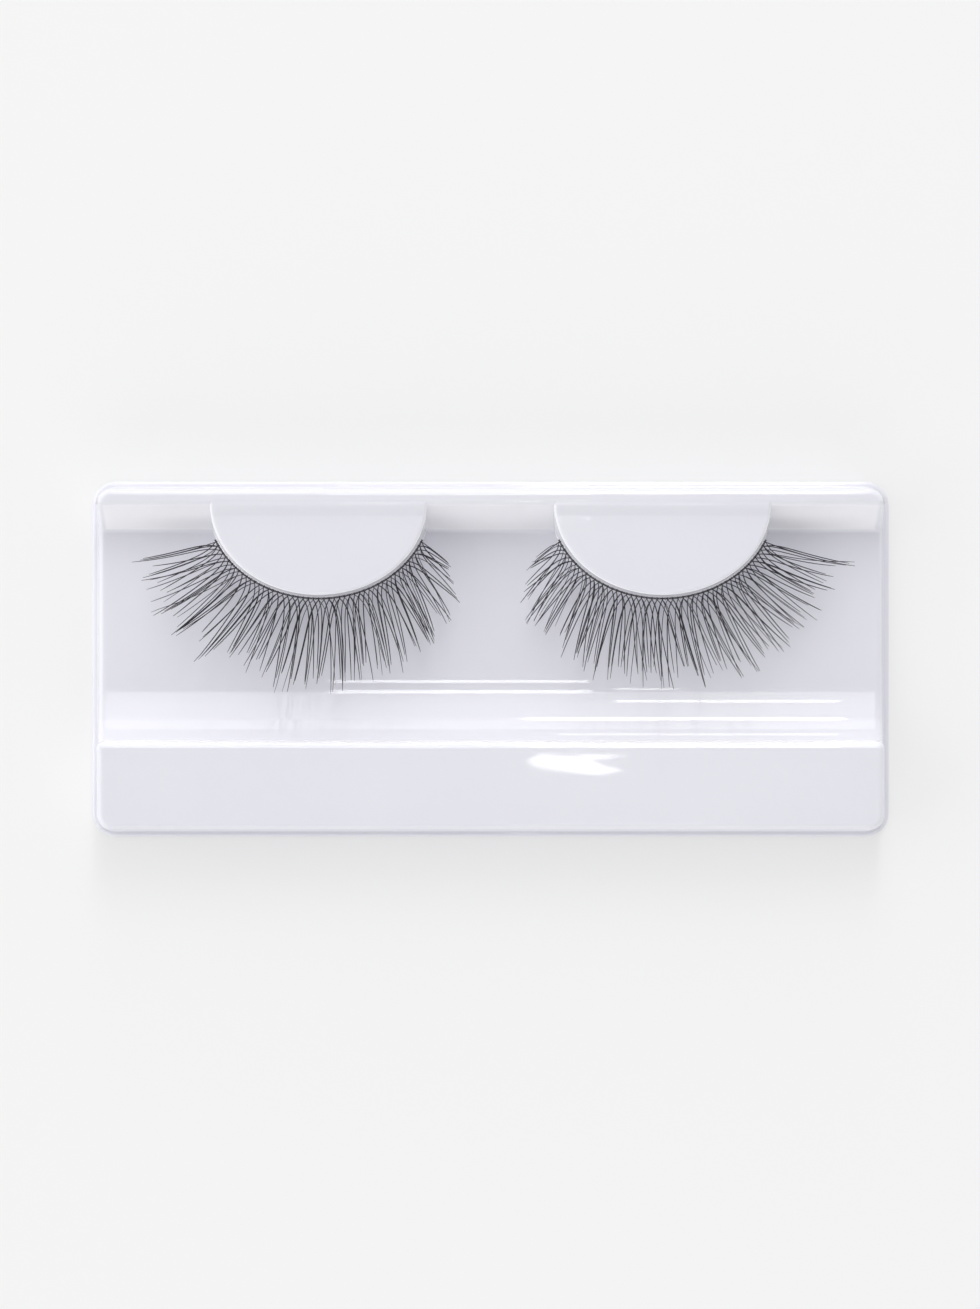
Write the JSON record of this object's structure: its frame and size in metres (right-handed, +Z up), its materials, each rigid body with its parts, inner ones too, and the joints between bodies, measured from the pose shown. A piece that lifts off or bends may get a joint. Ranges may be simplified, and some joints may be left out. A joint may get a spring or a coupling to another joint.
{
  "type": "pair of false eyelash strips on display tray",
  "caption": "False eyelash strips with knotted lashes on thread bands, seated round the half-oval bosses of a shallow white formed display tray.",
  "frame": {"origin": "centre of the tray's footprint, on the surface that the tray stands on", "axes": "+X along the tray's length, +Y from the raised front panel to the rim bar at the back, +Z up out of the well"},
  "size_m": [0.105, 0.0468, 0.009],
  "materials": {
    "tray_plastic": "gloss white formed sheet",
    "band_thread": "dark twisted thread",
    "lash_fibre": "dark satin fibre"
  },
  "bodies": {
    "root": {"tray": "tray_plastic", "lash_band_left": "band_thread", "lash_band_right": "band_thread", "lash_fringe_left": "lash_fibre", "lash_fringe_right": "lash_fibre"}
  },
  "joints": []
}
